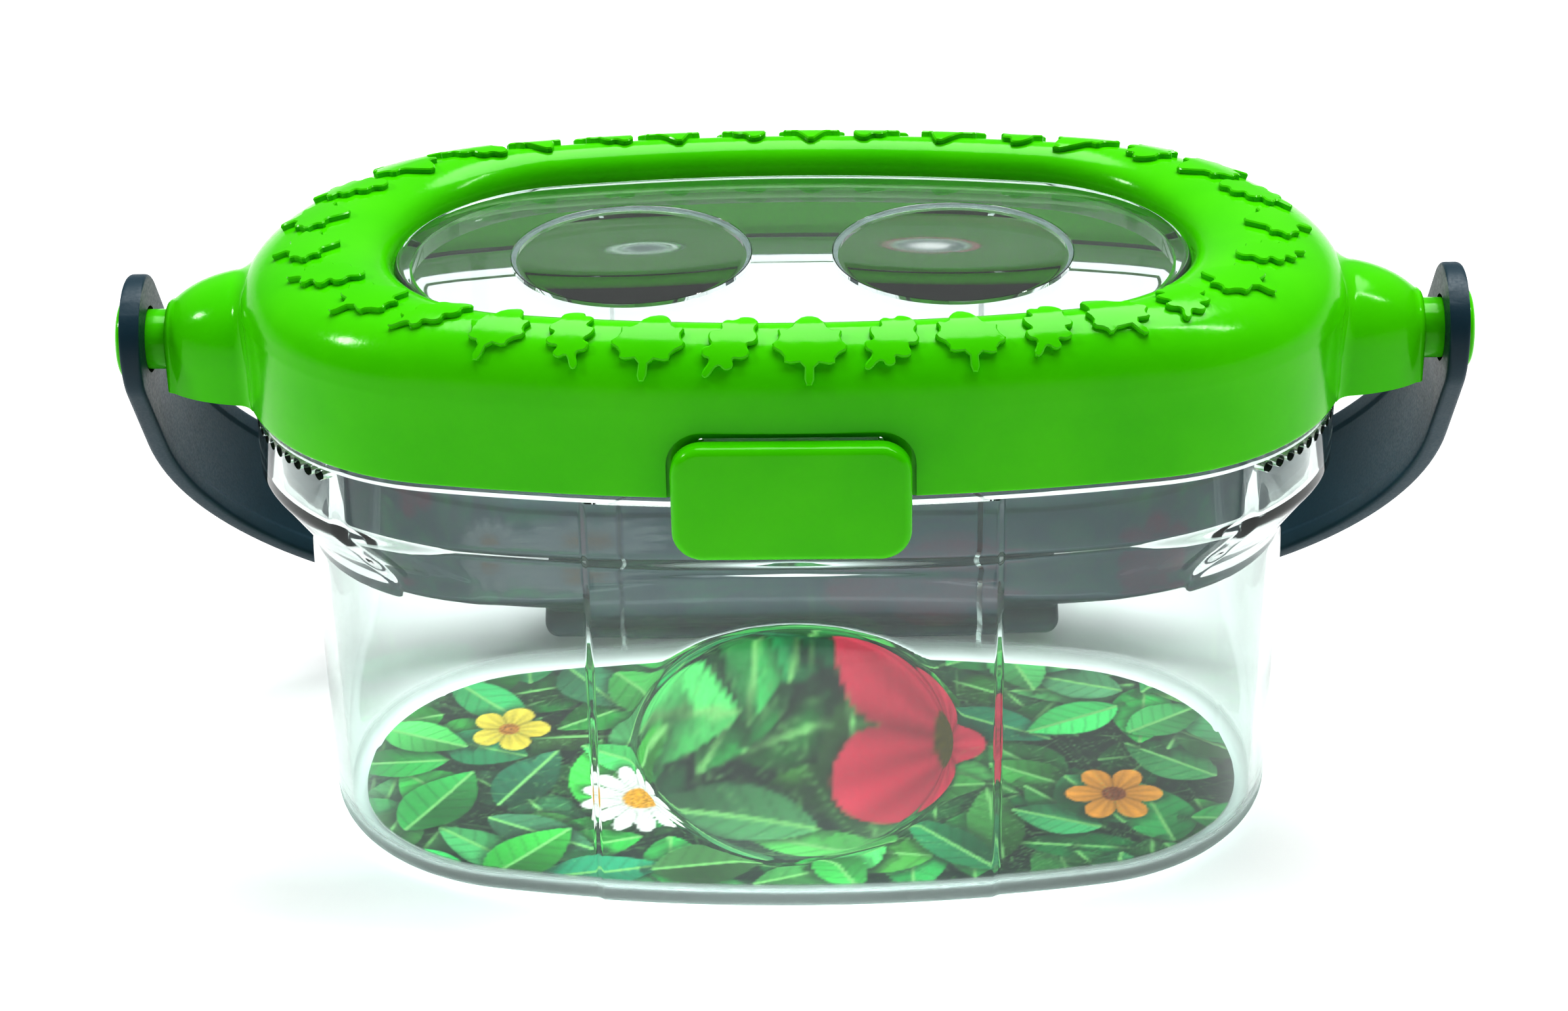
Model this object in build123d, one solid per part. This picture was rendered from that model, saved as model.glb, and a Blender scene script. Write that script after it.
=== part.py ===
"""Bug catcher jar: a clear oval tub with a green snap lid, two lid magnifiers and a bail handle.

Millimetres, +Z up, front towards -Y. The origin is the middle of the base, on the table.
"""
import os
from dataclasses import dataclass
from math import cos, hypot, radians, sin, tan

from build123d import *

# Lid ring
lid_length = 160.0
lid_depth = 81.0
lid_side_bulge = 4.5
skirt_wall = 1.6
skirt_height = 13.5
ring_crest_height = 23.9
opening_length = 115.4
opening_depth = 58.6
opening_side_bulge = 2.8
lip_wall = 1.8
lip_drop = 7.9

# Window and its two magnifiers
window_thickness = 2.4
window_rise = 3.0
window_flange_reach = 4.5
window_clearance = 0.15
window_edge_round = 1.4
lens_diameter = 34.8
lens_spacing = 46.4
lens_top_bulge = 0.8
lens_bottom_bulge = 1.3
lens_ledge_width = 0.8
lens_ledge_thickness = 0.8
lens_clearance = 0.05

# Tub
body_end_inset = 8.5
body_side_inset = 3.5
body_side_bulge = 4.0
wall = 1.9
wall_draft = 1.2
floor_thickness = 2.2
base_round = 3.2
floor_round = 1.8
shoulder_start = 46.0
shoulder_top = 62.0
shoulder_end_step = 0.9
shoulder_side_step = 0.3
seat_height = 70.5
flange_reach = 1.1
flange_thickness = 1.6
neck_height = 3.5
neck_wall = 1.8
lid_clearance = 0.3

# Raised front and rear panels, and the front magnifier
panel_width = 58.0
panel_proud = 0.5
dome_diameter = 46.2
dome_rise = 5.5
dome_height = 30.6

# Vents in the flared ends
vent_diameter = 1.8
vent_count = 25
vent_pitch = 4.1
vent_drop = 2.9

# Printed card
card_thickness = 0.6
card_margin = 2.3

# Ears and posts
post_rise = 6.0
post_diameter = 8.8
head_diameter = 11.6
head_thickness = 1.2
ear_reach = 11.2
ear_root_radius = 10.4
ear_nose_reserve = 1.6
ear_wall = 2.0
neck_gap = 2.8
strap_play = 0.3

# Clip
latch_width = 33.0
latch_height = 17.5
latch_corner = 4.4
latch_thickness = 3.0
latch_edge_round = 1.3
latch_stand_off = 0.1
latch_drop = 8.3
latch_gap = 0.6
latch_top_gap = 0.9
latch_catch_clearance = 0.3
pin_diameter = 2.0
pin_clearance = 0.05
pin_length = 3.0
pin_rise = 7.0
pin_inset = 2.5
knuckle_radius = 1.4
boss_wall = 1.1

# Bail handle
strap_width = 19.0
strap_rim = 2.8
strap_rim_thickness = 2.9
strap_web_thickness = 2.1
bail_corner_radius = 64.0
bail_drop = 81.2
eye_clearance = 0.5
grip_length = 85.0
grip_width = 26.0
grip_outset = 3.8
grip_flange = 3.2
grip_edge_round = 1.2
hang_angle = 52.0


# Curves given as shares: how far up, then how far out
flare_profile = [(0.0, 0.0), (0.3, 0.07), (0.5, 0.42), (0.7, 0.8), (0.87, 0.96), (1.0, 1.0)]
# How far across the ring from its outer edge, then how far up from the skirt to the crest
crown_profile = [
    (0.0, 0.0),
    (0.03, 0.26),
    (0.12, 0.55),
    (0.27, 0.79),
    (0.46, 0.94),
    (0.64, 1.0),
    (0.82, 0.94),
    (0.94, 0.81),
    (1.0, 0.6),
    (1.0, 0.36),
]
cavity_profile = [(0.0, 0.0), (0.06, 0.3), (0.22, 0.56), (0.44, 0.73), (0.64, 0.79), (0.86, 0.7), (1.0, 0.5)]


@dataclass
class Oval:
    """Oval of two end arcs and two wide side arcs, all tangent; the side arcs bulge past the end arcs."""

    half_length: float
    half_depth: float
    bulge: float

    @property
    def end_radius(self):
        return self.half_depth - self.bulge

    def inset(self, gap):
        return Oval(self.half_length - gap, self.half_depth - gap, self.bulge)

    def towards(self, other, share):
        def mix(a, b):
            return a + (b - a) * share

        return Oval(
            mix(self.half_length, other.half_length),
            mix(self.half_depth, other.half_depth),
            mix(self.bulge, other.bulge),
        )

    def end_centre(self):
        return self.half_length - self.end_radius

    def side_radius(self):
        reach = self.end_centre()
        return (reach**2 + self.half_depth**2 - self.end_radius**2) / (2 * self.bulge)

    def depth_at(self, x):
        """Half depth where the side arc passes x."""
        radius = self.side_radius()
        return self.half_depth - radius + (radius**2 - x**2) ** 0.5

    def face(self, height):
        reach = self.end_centre()
        drop = self.side_radius() - self.half_depth
        span = hypot(reach, drop)
        join_x = reach + self.end_radius * reach / span
        join_y = self.end_radius * drop / span
        front = ThreePointArc((-join_x, -join_y), (0, -self.half_depth), (join_x, -join_y))
        right = ThreePointArc((join_x, -join_y), (self.half_length, 0), (join_x, join_y))
        rear = ThreePointArc((join_x, join_y), (0, self.half_depth), (-join_x, join_y))
        left = ThreePointArc((-join_x, join_y), (-self.half_length, 0), (-join_x, -join_y))
        return Pos(0, 0, height) * make_face([front, right, rear, left])


# Ovals and levels that the pieces share
draft_slope = tan(radians(wall_draft))
lid_outline = Oval(lid_length / 2, lid_depth / 2, lid_side_bulge)
opening = Oval(opening_length / 2, opening_depth / 2, opening_side_bulge)
body_outline = Oval(
    lid_outline.half_length - body_end_inset,
    lid_outline.half_depth - body_side_inset,
    body_side_bulge,
)
neck_outline = lid_outline.inset(skirt_wall + lid_clearance)
mouth = neck_outline.inset(neck_wall)
shoulder_outline = Oval(
    neck_outline.half_length + shoulder_end_step,
    neck_outline.half_depth + shoulder_side_step,
    lid_side_bulge,
)
flange_outline = neck_outline.inset(-flange_reach)
rim_top = seat_height + neck_height
crest_top = seat_height + ring_crest_height
lip_bottom = crest_top - lip_drop
window_top = lip_bottom + window_rise
post_height = seat_height + post_rise
ear_tip = lid_outline.half_length + ear_reach
strap_inner = ear_tip + neck_gap
strap_outer = strap_inner + strap_rim_thickness
lens_seat = window_top - window_thickness + lens_ledge_thickness
latch_back = lid_outline.half_depth + latch_stand_off
latch_top = seat_height - latch_drop + latch_height
pin_back = lid_outline.half_depth - pin_inset
pin_height = seat_height + pin_rise
pin_end = latch_width / 2 + latch_gap + pin_length


def prism(outline, low, high):
    return extrude(outline.face(low), amount=high - low)


def rod(diameter, start, end, y=0.0, z=0.0):
    """Cylinder along X between two x positions."""
    middle = Pos((start + end) / 2, y, z) * Rot(0, 90, 0)
    return middle * Cylinder(diameter / 2, end - start)


def block(low, high):
    """Box between two corners."""
    size = [b - a for a, b in zip(low, high)]
    return Pos(*low) * Box(*size, align=Align.MIN)


def cap(diameter, rise):
    """Spherical lens cap that stands on the XY plane."""
    ball = (diameter**2 / 4 + rise**2) / (2 * rise)
    above = Cylinder(diameter, 2 * rise, align=(Align.CENTER, Align.CENTER, Align.MIN))
    return Pos(0, 0, rise - ball) * Sphere(ball) & above


def disc(diameter, low, high):
    return Pos(0, 0, low) * Cylinder(diameter / 2, high - low, align=(Align.CENTER, Align.CENTER, Align.MIN))


def mirrored(piece):
    return piece + mirror(piece, Plane.YZ)


# Tub
def body_oval(height, inset=0.0):
    """Outline of the drafted wall at a height."""
    return body_outline.inset(inset - height * draft_slope)


def flare(low_oval, high_oval):
    """Soft S curve from the wall out to the wider mouth."""
    rise = shoulder_top - shoulder_start
    stations = [low_oval.towards(high_oval, out).face(shoulder_start + up * rise) for up, out in flare_profile]
    return loft(stations)


def drafted(inset, low, high, low_round):
    """Tapered block on the wall's outline, rounded at its lower edge."""
    form = loft([body_oval(low, inset).face(low), body_oval(high, inset).face(high)], ruled=True)
    return fillet(form.edges().group_by(Axis.Z)[0], low_round)


def panels():
    """Middle slice of a slightly larger tub: it stands proud of the front and rear walls."""
    form = drafted(-panel_proud, 0, seat_height - flange_thickness, base_round + panel_proud)
    half = panel_width / 2
    return form & block((-half, -lid_depth, 0), (half, lid_depth, seat_height))


def front_dome():
    """Magnifier dome moulded on the front panel, square to its draft, with its sides flush with the curve."""
    normal = (0, -cos(radians(wall_draft)), -sin(radians(wall_draft)))
    rim = body_oval(dome_height, -panel_proud).depth_at(dome_diameter / 2)
    seat = Plane((0, -rim, dome_height), x_dir=(1, 0, 0), z_dir=normal)
    return seat * (disc(dome_diameter, -wall / 2, 0) + cap(dome_diameter, dome_rise))


def vents():
    """Rows of round air holes through both flared ends."""
    centre = neck_outline.end_centre()
    height = seat_height - vent_drop
    holes = []
    for number in range(vent_count):
        angle = (number - (vent_count - 1) / 2) * vent_pitch
        for turn in (angle, 180 - angle):
            side = 1 if turn == angle else -1
            aim = Pos(side * centre, 0, height) * Rot(0, 0, turn)
            holes.append(aim * rod(vent_diameter, mouth.end_radius - wall, lid_outline.end_radius + wall))
    return holes


def jar_body():
    tub = drafted(0, 0, shoulder_start, base_round)
    tub += flare(body_oval(shoulder_start), shoulder_outline)
    tub += prism(shoulder_outline, shoulder_top, seat_height)
    tub += prism(flange_outline, seat_height - flange_thickness, seat_height)
    tub += prism(neck_outline, seat_height, rim_top)
    tub += panels()
    tub += front_dome()
    tub -= drafted(wall, floor_thickness, shoulder_start, floor_round)
    tub -= flare(body_oval(shoulder_start, wall), mouth)
    tub -= prism(mouth, shoulder_top, rim_top)
    return tub - vents()


def base_card():
    outline = body_oval(floor_thickness, wall + card_margin)
    return prism(outline, floor_thickness, floor_thickness + card_thickness)


# Lid
def crown_loft(outer, inner, profile, end=None):
    """Solid under a ring that rises from the outer oval and falls to the inner one, down to an end height."""
    low = seat_height + skirt_height
    rise = ring_crest_height - skirt_height
    stations = [outer.towards(inner, across).face(low + up * rise) for across, up in profile]
    if end is not None:
        stations.append(inner.face(end))
    return loft(stations)


def ear_side(shrink, tip):
    """Corner points of an ear's curved side in plan: root, middle and tip."""
    root = lid_outline.half_length - skirt_wall
    nose = ear_reach + ear_nose_reserve + skirt_wall

    def width(x):
        return (ear_root_radius - shrink) * (1 - ((x - root) / nose) ** 2) ** 0.5

    return [(x, width(x)) for x in (root, (root + tip) / 2, tip)]


def ear_form(shrink, tip):
    """Half bullet turned about the post axis, on upright sides down to the skirt's edge."""
    side = ear_side(shrink, tip)
    far_side = [(x, -y) for x, y in side]
    root, _, end = side
    half = make_face([ThreePointArc(*side), *Polyline(end, (end[0], 0), (root[0], 0), root).edges()])
    plan = make_face(
        [ThreePointArc(*side), Line(end, far_side[2]), ThreePointArc(*far_side), Line(far_side[0], root)]
    )
    nose = Pos(0, 0, post_height) * revolve(half, axis=Axis.X, revolution_arc=180)
    return nose + extrude(Pos(0, 0, seat_height) * plan, amount=post_rise)


def post():
    """Neck and snap head that carry one eye of the bail."""
    head_start = strap_outer + strap_play
    neck = rod(post_diameter, ear_tip - ear_wall, head_start, z=post_height)
    head = rod(head_diameter, head_start, head_start + head_thickness, z=post_height)
    return neck + head


def latch_slot():
    """Cut in the front skirt that the clip turns in."""
    top = latch_top + latch_top_gap
    low = seat_height - latch_drop
    outline = RectangleRounded(latch_width + 2 * latch_gap, top - low, latch_corner + latch_gap)
    wall_back = lid_outline.half_depth - 2 * skirt_wall
    slot = extrude(Plane.XZ * outline, amount=latch_thickness + 2 * skirt_wall)
    return Pos(0, -wall_back, (top + low) / 2) * slot


def pin_boss():
    """Bored block behind the skirt that carries one stub pin of the clip."""
    reach = pin_diameter / 2 + pin_clearance + boss_wall
    start = latch_width / 2 + latch_gap
    end = pin_end + boss_wall
    outer = lid_outline.depth_at(end) - skirt_wall / 2
    low = (start, -outer, pin_height - reach)
    high = (end, -(pin_back - reach), pin_height + reach)
    return block(low, high)


def lid_frame():
    ring = prism(lid_outline, seat_height, seat_height + skirt_height)
    ring += crown_loft(lid_outline, opening, crown_profile)
    ring += mirrored(ear_form(0, ear_tip))
    cavity_outer = lid_outline.inset(skirt_wall)
    ring -= prism(cavity_outer, seat_height, seat_height + skirt_height)
    ring -= crown_loft(cavity_outer, opening.inset(-lip_wall), cavity_profile, lip_bottom)
    ring -= prism(opening, seat_height, crest_top)
    pocket = ear_form(ear_wall, ear_tip - 2 * ear_wall)
    pocket -= block((0, -lid_depth, 0), (lid_outline.half_length, lid_depth, crest_top))
    ring -= mirrored(pocket)
    ring -= latch_slot()
    ring += mirrored(post())
    ring += mirrored(pin_boss())
    bore_end = pin_end + latch_gap / 2
    return ring - rod(pin_diameter + 2 * pin_clearance, -bore_end, bore_end, -pin_back, pin_height)


def lens_spots():
    return [Pos(-lens_spacing / 2, 0), Pos(lens_spacing / 2, 0)]


def lid_window():
    """Raised clear plate with a flange under the ring's lip and two stepped lens seats."""
    raised = opening.inset(window_clearance)
    plate = prism(raised, lip_bottom - window_thickness, window_top)
    plate = fillet(plate.edges().group_by(Axis.Z)[-1], window_edge_round)
    plate += prism(opening.inset(-window_flange_reach), lip_bottom - window_thickness, lip_bottom)
    under = raised.inset(window_thickness)
    plate -= prism(under, lip_bottom - window_thickness, window_top - window_thickness)
    for spot in lens_spots():
        plate -= spot * disc(lens_diameter + 2 * lens_clearance, lens_seat, window_top)
        plate -= spot * disc(lens_diameter - 2 * lens_ledge_width, window_top - window_thickness, lens_seat)
    return plate


def lens():
    """Round magnifier with a flat edge, bulged above and below."""
    edge = disc(lens_diameter, lens_seat, window_top)
    top = Pos(0, 0, window_top) * cap(lens_diameter - 2 * lens_clearance, lens_top_bulge)
    under_width = lens_diameter - 2 * (lens_ledge_width + lens_clearance)
    under = Pos(0, 0, lens_seat) * mirror(cap(under_width, lens_bottom_bulge), Plane.XY)
    return edge + top + under


# Clip
def front_latch():
    """Clip face with a knuckle and two stub pins behind it, and a catch bead low on its back."""
    outline = RectangleRounded(latch_width, latch_height, latch_corner)
    face = extrude(Plane.XZ * outline, amount=latch_thickness)
    face = fillet(face.edges().group_by(Axis.Y)[0], latch_edge_round)
    clip = Pos(0, -latch_back, latch_top - latch_height / 2) * face
    half = latch_width / 2 - latch_corner
    clip += rod(2 * knuckle_radius, -half, half, -pin_back, pin_height)
    web_low = (-half, -latch_back - latch_thickness / 2, pin_height - knuckle_radius)
    clip += block(web_low, (half, -pin_back, pin_height + knuckle_radius))
    clip += rod(pin_diameter, -pin_end, pin_end, -pin_back, pin_height)
    bead_radius = latch_back - flange_outline.half_depth - latch_catch_clearance
    bead_height = seat_height - flange_thickness - latch_catch_clearance - bead_radius
    return clip + rod(2 * bead_radius, -latch_width / 3, latch_width / 3, -latch_back, bead_height)


# Bail handle, made hanging straight down from the post axis
def bail_band(outset, thickness):
    """U-shaped band face in the XZ plane; outset moves its outer edge from the strap's outer face."""

    def path(offset):
        half = strap_outer + offset
        radius = bail_corner_radius + offset
        bottom = -(bail_drop + offset)
        flat = half - radius
        low = bottom + radius
        slant = radius * cos(radians(45))
        arc_left = ThreePointArc((-half, low), (-flat - slant, low - slant), (-flat, bottom))
        arc_right = ThreePointArc((flat, bottom), (flat + slant, low - slant), (half, low))
        arms = [Line((-half, strap_width / 2), (-half, low)), Line((half, low), (half, strap_width / 2))]
        return [*arms, arc_left, arc_right, Line((-flat, bottom), (flat, bottom))], half

    outer, outer_half = path(outset)
    inner, inner_half = path(outset - thickness)
    top = strap_width / 2
    ends = [Line((-outer_half, top), (-inner_half, top)), Line((inner_half, top), (outer_half, top))]
    return Plane.XZ * make_face([*outer, *inner, *ends])


def band(outset, thickness, low, high):
    """The U band as a solid between two positions across its width."""
    return Pos(0, high, 0) * extrude(bail_band(outset, thickness), amount=high - low)


def grip():
    half = grip_length / 2
    top = -(bail_drop + grip_outset - grip_flange)
    flange = block((-half, -grip_width / 2, top - grip_flange), (half, grip_width / 2, top))
    flange = fillet(flange.edges(), grip_edge_round)
    core_half = strap_width / 2
    core_low = top - grip_flange / 2
    core = block((-half, -core_half, core_low), (half, core_half, -bail_drop + strap_rim_thickness / 2))
    return flange + core


def handle():
    half = strap_width / 2
    sunk = (strap_rim_thickness - strap_web_thickness) / 2
    strap = band(-sunk, strap_web_thickness, -half, half)
    strap += band(0, strap_rim_thickness, -half, -half + strap_rim)
    strap += band(0, strap_rim_thickness, half - strap_rim, half)
    strap += mirrored(rod(strap_width - strap_rim, strap_inner, strap_outer))
    reach = strap_outer + strap_play
    round_end = rod(strap_width, -reach, reach)
    below = block((-reach, -half, -bail_drop - strap_width), (reach, half, 0))
    strap = strap & (round_end + below)
    strap += grip()
    strap -= rod(post_diameter + 2 * eye_clearance, -reach, reach)
    return Pos(0, 0, post_height) * Rot(90 - hang_angle, 0, 0) * strap


def main():
    left, right = lens_spots()
    pieces = {
        "jar_body": jar_body(),
        "base_card": base_card(),
        "lid_frame": lid_frame(),
        "lid_window": lid_window(),
        "left_lens": left * lens(),
        "right_lens": right * lens(),
        "front_latch": front_latch(),
        "handle": handle(),
    }
    os.makedirs("parts", exist_ok=True)
    for name, piece in pieces.items():
        export_step(piece, f"parts/{name}.step")


if __name__ == "__main__":
    main()
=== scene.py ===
"""Looks of the bug catcher jar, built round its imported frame.

Shapes are worked out in millimetres in the frame's axes, +Z up and front towards -Y, and stored in metres.
"""
import math
import random

import bmesh
import bpy
import numpy as np
from mathutils import Matrix, Vector
from mathutils.geometry import delaunay_2d_cdt


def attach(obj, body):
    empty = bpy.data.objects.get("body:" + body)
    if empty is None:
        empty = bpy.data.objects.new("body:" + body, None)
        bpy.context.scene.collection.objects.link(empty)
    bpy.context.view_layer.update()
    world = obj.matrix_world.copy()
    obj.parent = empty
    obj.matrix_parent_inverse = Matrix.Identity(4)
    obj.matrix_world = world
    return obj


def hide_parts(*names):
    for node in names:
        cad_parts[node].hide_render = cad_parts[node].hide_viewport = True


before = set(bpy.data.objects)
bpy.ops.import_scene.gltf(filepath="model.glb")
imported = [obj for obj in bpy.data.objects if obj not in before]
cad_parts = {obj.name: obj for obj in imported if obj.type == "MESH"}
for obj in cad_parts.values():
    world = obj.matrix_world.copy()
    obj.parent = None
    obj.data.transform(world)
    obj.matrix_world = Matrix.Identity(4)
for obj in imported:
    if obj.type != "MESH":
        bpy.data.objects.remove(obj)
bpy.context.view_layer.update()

MM = 0.001
SHARP_ANGLE = math.radians(38)

# Lid ring
LID_LENGTH = 160.0
LID_DEPTH = 81.0
LID_BULGE = 4.5
SKIRT_WALL = 1.6
SKIRT_HEIGHT = 13.5
SKIRT_EDGE_ROUND = 0.45
CREST_HEIGHT = 23.0
OPENING_LENGTH = 115.4
OPENING_DEPTH = 58.6
OPENING_BULGE = 2.8
LIP_WALL = 1.8
LIP_DROP = 7.0

# Window and lenses
WINDOW_THICKNESS = 2.4
WINDOW_RISE = 3.0
WINDOW_FLANGE_REACH = 4.5
WINDOW_CLEARANCE = 0.15
WINDOW_EDGE_ROUND = 1.4
LENS_DIAMETER = 34.8
LENS_SPACING = 46.4
LENS_TOP_BULGE = 0.2
LENS_BOTTOM_BULGE = 0.9
LENS_RIM_ROUND = 0.12
LENS_LEDGE = 0.8
LENS_CLEARANCE = 0.05

# Tub
BODY_END_INSET = 8.5
BODY_SIDE_INSET = 3.5
BODY_BULGE = 4.0
WALL = 1.9
WALL_DRAFT = math.radians(1.2)
FLOOR_THICKNESS = 2.2
BASE_ROUND = 3.2
FLOOR_ROUND = 1.8
FROST_TOP = 4.8
FROST_FADE = 1.2
FROST_ROUGHNESS = 0.5
FROST_TRANSMISSION = 0.74
FLARE_TOP = 58.6
FLARE_SLOPE = 0.79
FLARE_FOOT_BLEND = 1.3
FLARE_EDGE_BLEND = 0.5
SHOULDER_END_STEP = -0.1
SHOULDER_SIDE_STEP = 0.3
LUG_PROUD = 1.0
LUG_ANGLE = math.radians(54)
LUG_SPLAY = math.radians(0.7)
LUG_EDGE = math.radians(1.6)
SEAT_HEIGHT = 70.5
FLANGE_REACH = 1.1
FLANGE_THICKNESS = 1.6
NECK_HEIGHT = 3.5
NECK_WALL = 1.8
RIM_ROUND = 0.35
SEAT_GAP = 0.05
LID_CLEARANCE = 0.3
PANEL_WIDTH = 58.0
PANEL_PROUD = 0.8
PANEL_EDGE = 1.0
PANEL_RAMP_START = 48.0
COLUMNS_STRAIGHT = 36.0
COLUMNS_FREE = 58.0
DOME_DIAMETER = 46.2
DOME_RISE = 5.5
DOME_HEIGHT = 30.6
DOME_SUNK = 0.2
DOME_BLEND = 0.45
VENT_DIAMETER = 1.8
VENT_COUNT = 25
VENT_PITCH = math.radians(4.1)
VENT_DROP = 2.9
CARD_THICKNESS = 0.6
CARD_MARGIN = 2.3

# Ears and posts
POST_RISE = 6.0
POST_DIAMETER = 8.8
HEAD_DIAMETER = 11.6
HEAD_THICKNESS = 1.2
HEAD_CHAMFER = 0.25
HEAD_RIM = 0.4
HEAD_ROUND = 1.6
EAR_REACH = 11.2
EAR_ROOT_RADIUS = 10.4
EAR_NOSE_RESERVE = 1.6
EAR_FILLET = 1.9
EAR_TIP_ROUND = 1.0
EAR_SUNK = 0.6
NECK_GAP = 2.8
STRAP_PLAY = 0.3

# Clip
LATCH_WIDTH = 33.0
LATCH_HEIGHT = 17.5
LATCH_CORNER = 4.4
LATCH_THICKNESS = 3.0
LATCH_EDGE_ROUND = 1.3
LATCH_CROWN = 0.25
LATCH_CROWN_REACH = 5.5
LATCH_BACK_ROUND = 0.25
LATCH_STAND_OFF = 0.1
LATCH_RECESS = 1.1
LATCH_DROP = 8.3
LATCH_GAP = 0.6
LATCH_TOP_GAP = 0.9
LATCH_CATCH_CLEARANCE = 0.3
PIN_DIAMETER = 2.0
PIN_LENGTH = 3.0
PIN_RISE = 7.0
PIN_INSET = 2.5
KNUCKLE_RADIUS = 1.4

# Bail handle
STRAP_WIDTH = 19.0
STRAP_RIM = 2.8
STRAP_RIM_THICKNESS = 2.9
STRAP_WEB_THICKNESS = 2.1
STRAP_CORNER = 0.7
RECESS_START = 7.0
RECESS_END = 14.0
EYE_TOP_SHARE = 0.12
BAIL_CORNER_RADIUS = 64.0
BAIL_DROP = 81.2
EYE_CLEARANCE = 0.5
GRIP_LENGTH = 85.0
GRIP_WIDTH = 26.0
GRIP_OUTSET = 3.8
GRIP_FLANGE = 3.2
GRIP_EDGE_ROUND = 1.3
GRIP_CORNER = 2.4
HANG_ANGLE = math.radians(52)

# Raised leaves on the ring
LEAF_COUNT = 33
LEAF_RELIEF = 0.9
LEAF_SUNK = 0.5
LEAF_BEVEL = 0.2
LEAF_GRID = 0.8
LEAF_MARGIN_SIDE = 2.4
LEAF_MARGIN_END = 5.6
LEAF_TILT = 12
LEAF_LEAN = 34
LEAF_SIZES = (0.95, 1.04)

# Distances between the columns of the meshes
RING_SPACING = 0.9
TUB_SPACING = 1.3
DOME_SPACING = 0.55
LUG_SPACING = 0.35
PANEL_EDGE_SPACING = 0.25

# How far across the ring from its outer edge, then how far up from the skirt to the crest
CROWN_PROFILE = [
    (0.0, 0.0), (0.03, 0.26), (0.12, 0.55), (0.27, 0.79), (0.46, 0.94),
    (0.64, 1.0), (0.82, 0.94), (0.94, 0.81), (1.0, 0.6), (1.0, 0.36),
]
CAVITY_PROFILE = [
    (0.0, 0.0), (0.06, 0.3), (0.22, 0.56), (0.44, 0.73), (0.64, 0.79), (0.86, 0.7), (1.0, 0.5),
]


class Oval:
    """Oval of two end arcs and two wide side arcs, all tangent; the side arcs bulge past the end arcs."""

    def __init__(self, half_length, half_depth, bulge):
        self.half_length = half_length
        self.half_depth = half_depth
        self.bulge = bulge
        self.end_radius = half_depth - bulge
        self.end_centre = half_length - self.end_radius
        self.side_radius = (self.end_centre**2 + half_depth**2 - self.end_radius**2) / (2 * bulge)
        self.drop = self.side_radius - half_depth

    def inset(self, gap):
        return Oval(self.half_length - gap, self.half_depth - gap, self.bulge)

    def towards(self, other, share):
        def mix(a, b):
            return a + (b - a) * share

        return Oval(
            mix(self.half_length, other.half_length),
            mix(self.half_depth, other.half_depth),
            mix(self.bulge, other.bulge),
        )

    def at(self, angles):
        """Points whose outward normals have these angles from +X."""
        c, s = np.cos(angles), np.sin(angles)
        on_end = np.abs(s) < self.drop / math.hypot(self.end_centre, self.drop)
        x = np.where(on_end, np.sign(c) * self.end_centre + self.end_radius * c, self.side_radius * c)
        y = np.where(on_end, self.end_radius * s, self.side_radius * s - np.sign(s) * self.drop)
        return np.stack([x, y], axis=-1)

    def loop(self, angles, height):
        return at_height(self.at(angles), height)

    def depth_at(self, x):
        """Half depth of the outline at x, on either arc."""
        side = np.sqrt(np.maximum(self.side_radius**2 - x**2, 0)) - self.drop
        past = np.maximum(np.abs(x) - self.end_centre, 0)
        end = np.sqrt(np.maximum(self.end_radius**2 - past**2, 0))
        join = self.end_centre + self.end_radius * self.end_centre / (self.side_radius - self.end_radius)
        return np.where(np.abs(x) < join, side, end)


# Ovals and levels that the pieces share
lid_outline = Oval(LID_LENGTH / 2, LID_DEPTH / 2, LID_BULGE)
opening = Oval(OPENING_LENGTH / 2, OPENING_DEPTH / 2, OPENING_BULGE)
body_outline = Oval(
    lid_outline.half_length - BODY_END_INSET,
    lid_outline.half_depth - BODY_SIDE_INSET,
    BODY_BULGE,
)
neck_outline = lid_outline.inset(SKIRT_WALL + LID_CLEARANCE)
mouth = neck_outline.inset(NECK_WALL)
shoulder_outline = Oval(
    neck_outline.half_length + SHOULDER_END_STEP,
    neck_outline.half_depth + SHOULDER_SIDE_STEP,
    LID_BULGE,
)
flange_outline = neck_outline.inset(-FLANGE_REACH)
rim_top = SEAT_HEIGHT + NECK_HEIGHT
skirt_top = SEAT_HEIGHT + SKIRT_HEIGHT
crest_top = SEAT_HEIGHT + CREST_HEIGHT
lip_bottom = crest_top - LIP_DROP
window_top = lip_bottom + WINDOW_RISE
lens_seat = window_top - WINDOW_THICKNESS + LENS_LEDGE
post_height = SEAT_HEIGHT + POST_RISE
ear_tip = lid_outline.half_length + EAR_REACH
strap_inner = ear_tip + NECK_GAP
strap_outer = strap_inner + STRAP_RIM_THICKNESS
head_start = strap_outer + STRAP_PLAY
latch_top = SEAT_HEIGHT - LATCH_DROP + LATCH_HEIGHT
latch_back = lid_outline.half_depth + LATCH_STAND_OFF
latch_middle = latch_top - LATCH_HEIGHT / 2
knuckle_half = LATCH_WIDTH / 2 - LATCH_CORNER
pin_end = LATCH_WIDTH / 2 + LATCH_GAP + PIN_LENGTH
pin_back = lid_outline.half_depth - PIN_INSET
pin_height = SEAT_HEIGHT + PIN_RISE


# Small maths
def smoothstep(low, high, value):
    share = np.clip((value - low) / (high - low), 0.0, 1.0)
    return share * share * (3 - 2 * share)


def soft_max(a, b, width):
    """The larger of two values, rounded where they cross."""
    share = np.clip(0.5 + 0.5 * (b - a) / width, 0.0, 1.0)
    return a * (1 - share) + b * share + width * share * (1 - share)


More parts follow.
